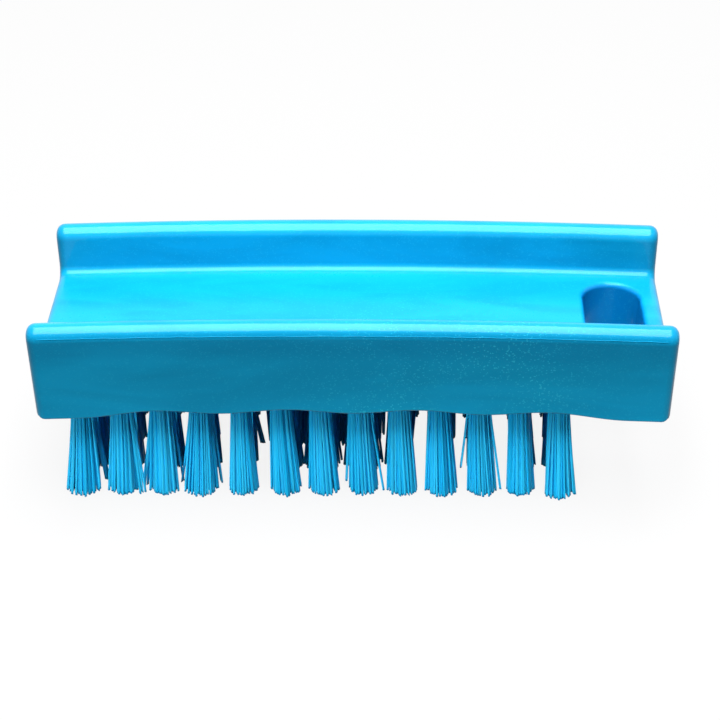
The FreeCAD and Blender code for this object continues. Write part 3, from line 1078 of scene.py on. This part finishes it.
@dataclass
class TuftRow:
    """One row of tufts.

    Each tip has a lean along the block and a width, in millimetres. Some tufts, by number from 1, also have
    strays or a tip that comes forward.
    """

    row: Row
    leans: tuple[float, ...]
    widths: tuple[float, ...]
    strays: dict[int, tuple[Stray, ...]] = field(default_factory=dict)
    forward: dict[int, float] = field(default_factory=dict)
    near: float = 0.01

    def nodes(self) -> list[str]:
        """List the row's tuft nodes from the plain end to the slot."""
        return sorted(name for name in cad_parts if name.startswith(f"tuft_row_{self.row.value}_"))

    def roots(self) -> list[Vector]:
        """Find the middle of each tuft's upper end, in metres.

        Returns:
            The places, in the order of the nodes.
        """
        places = []
        for node in self.nodes():
            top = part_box(node)[1].z - self.near * MM
            upper = [v.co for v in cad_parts[node].data.vertices if v.co.z > top]
            places.append(sum(upper, Vector()) / len(upper))
        return places

    def build(self, strand: Strand, finish: bpy.types.Material) -> None:
        """Build, dress and attach the row's tufts.

        Args:
            strand: The modelled strand that is copied.
            finish: The material to dress them in.
        """
        for number, (node, root) in enumerate(zip(self.nodes(), self.roots())):
            tuft = Tuft(
                node=node,
                root=root,
                lean=self.leans[number % len(self.leans)],
                tip_width=self.widths[number % len(self.widths)],
                strays=self.strays.get(number + 1, ()),
                seed=100 * self.row.value + number,
                forward=self.forward.get(number + 1, 0.0),
            )
            attach(tuft.build(strand, finish), Slot.BRISTLE, node)


@dataclass(frozen=True)
class SoftLight:
    """A rectangular soft light, in metres, watts and degrees."""

    name: str
    place: Vector
    aim: Vector
    size: Span
    power: float
    spread: float = 180.0

    def hang(self) -> None:
        """Hang the light at its place, facing its aim."""
        lamp = bpy.data.lights.new(self.name, "AREA")
        lamp.shape = "RECTANGLE"
        lamp.size, lamp.size_y = self.size
        lamp.energy = self.power
        lamp.spread = math.radians(self.spread)
        hung = bpy.data.objects.new(self.name, lamp)
        hung.location = self.place
        hung.rotation_euler = (self.aim - self.place).to_track_quat("-Z", "Y").to_euler()
        bpy.context.scene.collection.objects.link(hung)


@dataclass
class Studio:
    """Floor, lights and camera.

    The floor and lights are in metres, the camera in millimetres and degrees.
    """

    floor_size: float = 6.0
    floor_tone: float = 0.5
    bounce_tone: float = 0.06
    whiteness: float = 0.88
    ambient: float = 0.04
    lights: tuple[SoftLight, ...] = (
        SoftLight(
            name="overhead",
            place=Vector((0, -0.11, 0.62)),
            aim=Vector((0, 0, 0.03)),
            size=(0.44, 0.76),
            power=11.5,
        ),
        SoftLight(
            name="low_strip",
            place=Vector((-0.2, -0.3, 0.007)),
            aim=Vector((0, -0.012, 0.007)),
            size=(0.3, 0.014),
            power=0.0125,
            spread=6.0,
        ),
    )
    sensor: float = 36.0
    focal: float = 109.72
    clip_start: float = 10.0
    target: Axes = (0.973, 0.0, 20.496)
    distance: float = 421.66
    elevation: float = 30.246
    azimuth: float = 1.395
    roll: float = -0.454

    @staticmethod
    def seen(nodes: Nodes) -> Value:
        """Tell which rays show the white backdrop.

        Args:
            nodes: The tree to add to.

        Returns:
            1 for camera, glossy and transmission rays, 0 for the others.
        """
        names = ("Is Camera Ray", "Is Glossy Ray", "Is Transmission Ray")
        rays = [nodes.add("ShaderNodeLightPath", {}, {}, name) for name in names]
        return rays[0].larger(rays[1]).larger(rays[2])

    def lay_floor(self) -> None:
        """Lay a pale floor that keeps a soft shadow."""
        bpy.ops.object.select_all(action="DESELECT")
        bpy.ops.mesh.primitive_plane_add(size=self.floor_size)
        floor = bpy.context.active_object
        floor.name = "floor"
        material, nodes = new_material("pale_floor")
        seen = self.seen(nodes)
        tone = nodes.mix(seen, (self.bounce_tone,) * 3, (self.floor_tone,) * 3)
        lit = nodes.add("ShaderNodeBsdfDiffuse", {}, {"Color": tone})
        white = nodes.add("ShaderNodeEmission", {}, {"Color": (1, 1, 1, 1), "Strength": 1.0})
        mixed = nodes.add("ShaderNodeMixShader", {}, {0: seen * self.whiteness, 1: lit, 2: white})
        nodes.add("ShaderNodeOutputMaterial", {}, {"Surface": mixed})
        floor.data.materials.append(material)

    def fill_world(self) -> None:
        """Surround the brush with white that lights it only a little."""
        world = bpy.data.worlds.new("studio")
        world.use_nodes = True
        nodes = Nodes(world.node_tree)
        strength = self.ambient + self.seen(nodes) * (1 - self.ambient)
        glow = nodes.add("ShaderNodeBackground", {}, {"Color": (1, 1, 1, 1), "Strength": strength})
        nodes.add("ShaderNodeOutputWorld", {}, {"Surface": glow})
        bpy.context.scene.world = world

    def aim_camera(self) -> None:
        """Set the camera where the photograph was taken from."""
        rise, turn, tilt = (math.radians(a) for a in (self.elevation, self.azimuth, self.roll))
        back = Vector((math.sin(turn) * math.cos(rise), -math.cos(turn) * math.cos(rise), math.sin(rise)))
        right = Vector((math.cos(turn), math.sin(turn), 0))
        up = back.cross(right)
        level = right * math.cos(tilt) + up * math.sin(tilt)
        upright = up * math.cos(tilt) - right * math.sin(tilt)
        turned = Matrix((level, upright, back)).transposed().to_4x4()
        camera = bpy.data.cameras.new("camera")
        camera.lens = self.focal
        camera.sensor_width = self.sensor
        camera.clip_start = self.clip_start * MM
        view = bpy.data.objects.new("camera", camera)
        place = (Vector(self.target) + back * self.distance) * MM
        view.matrix_world = Matrix.Translation(place) @ turned
        bpy.context.scene.collection.objects.link(view)
        bpy.context.scene.camera = view

    def build(self) -> None:
        """Set up floor, lights and camera."""
        self.lay_floor()
        for light in self.lights:
            light.hang()
        self.fill_world()
        self.aim_camera()
        bpy.context.scene.view_settings.view_transform = "Standard"


def attach(piece: bpy.types.Object, slot: Slot, *nodes: str) -> None:
    """Make a piece ride on the brush in place of the frame's nodes.

    Args:
        piece: The finished piece.
        slot: Not used.
        *nodes: The nodes that it replaces, if any.
    """
    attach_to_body(piece, BODY)
    if nodes:
        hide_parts(*nodes)
    LOG.info("%s: %d faces", piece.name, len(piece.data.polygons))


def tuft_rows() -> list[TuftRow]:
    """Lay out the rows with the leans, splays and stray filaments that the brush shows.

    Returns:
        The rows, from the front.
    """
    front = TuftRow(
        Row.FRONT,
        leans=(-1.0, -0.6, -0.2, -0.7, 0.1, 0.8, 0.7, 0.6, 0.7, 0.7, 0.9, 0.8, 0.6),
        widths=(6.9, 6.2, 5.8, 7.1, 6.4, 6.1, 6.1, 5.7, 6.0, 6.4, 5.9, 5.5, 5.6),
        strays={
            1: (
                Stray(3.4, -1.6, 0.8),
                Stray(3.0, -0.6),
                Stray(4.7, 2.5, 0.4),
                Stray(4.4, 2.1),
                Stray(4.0, 2.4),
            ),
            2: (Stray(3.3, -2.3, 0.1), Stray(3.7, -2.0, 0.2), Stray(4.2, -1.8, 0.2), Stray(3.6, 0.9)),
            3: (Stray(-3.4, 0.3), Stray(-3.9, -0.2, 0.5), Stray(-4.2, 0.6, 0.8), Stray(3.4, 1.6, 0.6)),
            4: (Stray(3.9, 1.2), Stray(3.7, 1.8, 0.4), Stray(-3.8, 1.0, 0.6)),
            8: (Stray(3.9, -1.0, 0.3), Stray(-3.2, 0.5, 1.5)),
            11: (Stray(3.6, -0.8), Stray(-4.0, 0.8, 4.5)),
            13: (Stray(2.9, -0.9, 0.4), Stray(3.2, -0.7, 0.2)),
        },
        forward={1: 0.2, 3: 0.2, 13: 1.0},
    )
    second = TuftRow(
        Row.SECOND,
        leans=(0.6, 0.0, 0.6, -0.1, -0.3, 0.7, 0.0, 0.4, 0.0, 0.3, 0.7, 1.6, 0.5),
        widths=(5.8, 5.4, 5.6, 5.8, 5.4, 6.8, 7.8, 8.0, 6.0, 5.4, 5.2, 5.6, 5.4),
        strays={1: (Stray(3.6, -0.5), Stray(3.9, 0.4))},
    )
    third = TuftRow(
        Row.THIRD,
        leans=(0.0, 0.2, 0.0, 0.8, 1.4, 1.4, 0.0, 0.0, -1.8, -2.0, -0.6, -0.5, 1.4, 0.9),
        widths=(5.6, 4.6, 5.6, 5.2, 4.8, 4.8, 6.4, 6.4, 5.2, 5.2, 5.2, 5.2, 5.0, 5.0),
        strays={
            5: (Stray(4.0, -3.0), Stray(3.7, -2.7), Stray(3.4, -2.9)),
            9: (Stray(3.3, 0.5), Stray(3.1, 0.8)),
        },
    )
    rear = TuftRow(
        Row.REAR,
        leans=(0.0, -1.3, -1.4, -1.4, -0.8, 0.0, 0.0, 0.0, 1.5, 0.6, 0.0, 1.3, 1.0),
        widths=(5.4, 5.2, 4.8, 4.8, 5.2, 5.4, 5.6, 5.6, 5.2, 5.2, 5.2, 5.2, 5.2),
    )
    return [front, second, third, rear]


def dress_anchors(finish: bpy.types.Material) -> None:
    """Dress the anchors, whose shapes stay as the frame has them.

    Args:
        finish: The material to dress them in.
    """
    for name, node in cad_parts.items():
        if name.startswith("anchors"):
            node.data.materials.clear()
            node.data.materials.append(finish)
            LOG.info("%s: dressed", name)


def main() -> None:
    """Build the brush and its studio."""
    logging.basicConfig(level=logging.INFO, format="%(name)s %(message)s")
    rows = tuft_rows()
    block = Block()
    plastic = PearlPlastic(block).material()
    attach(block.build([root for row in rows for root in row.roots()], plastic), Slot.BLOCK, "block")
    attach(PartingLine(block).build(plastic), Slot.BLOCK)
    nylon = BristleNylon().material()
    strand = Strand()
    for row in rows:
        row.build(strand, nylon)
    dress_anchors(AnchorSteel().material())
    Studio().build()


if __name__ == "__main__":
    main()
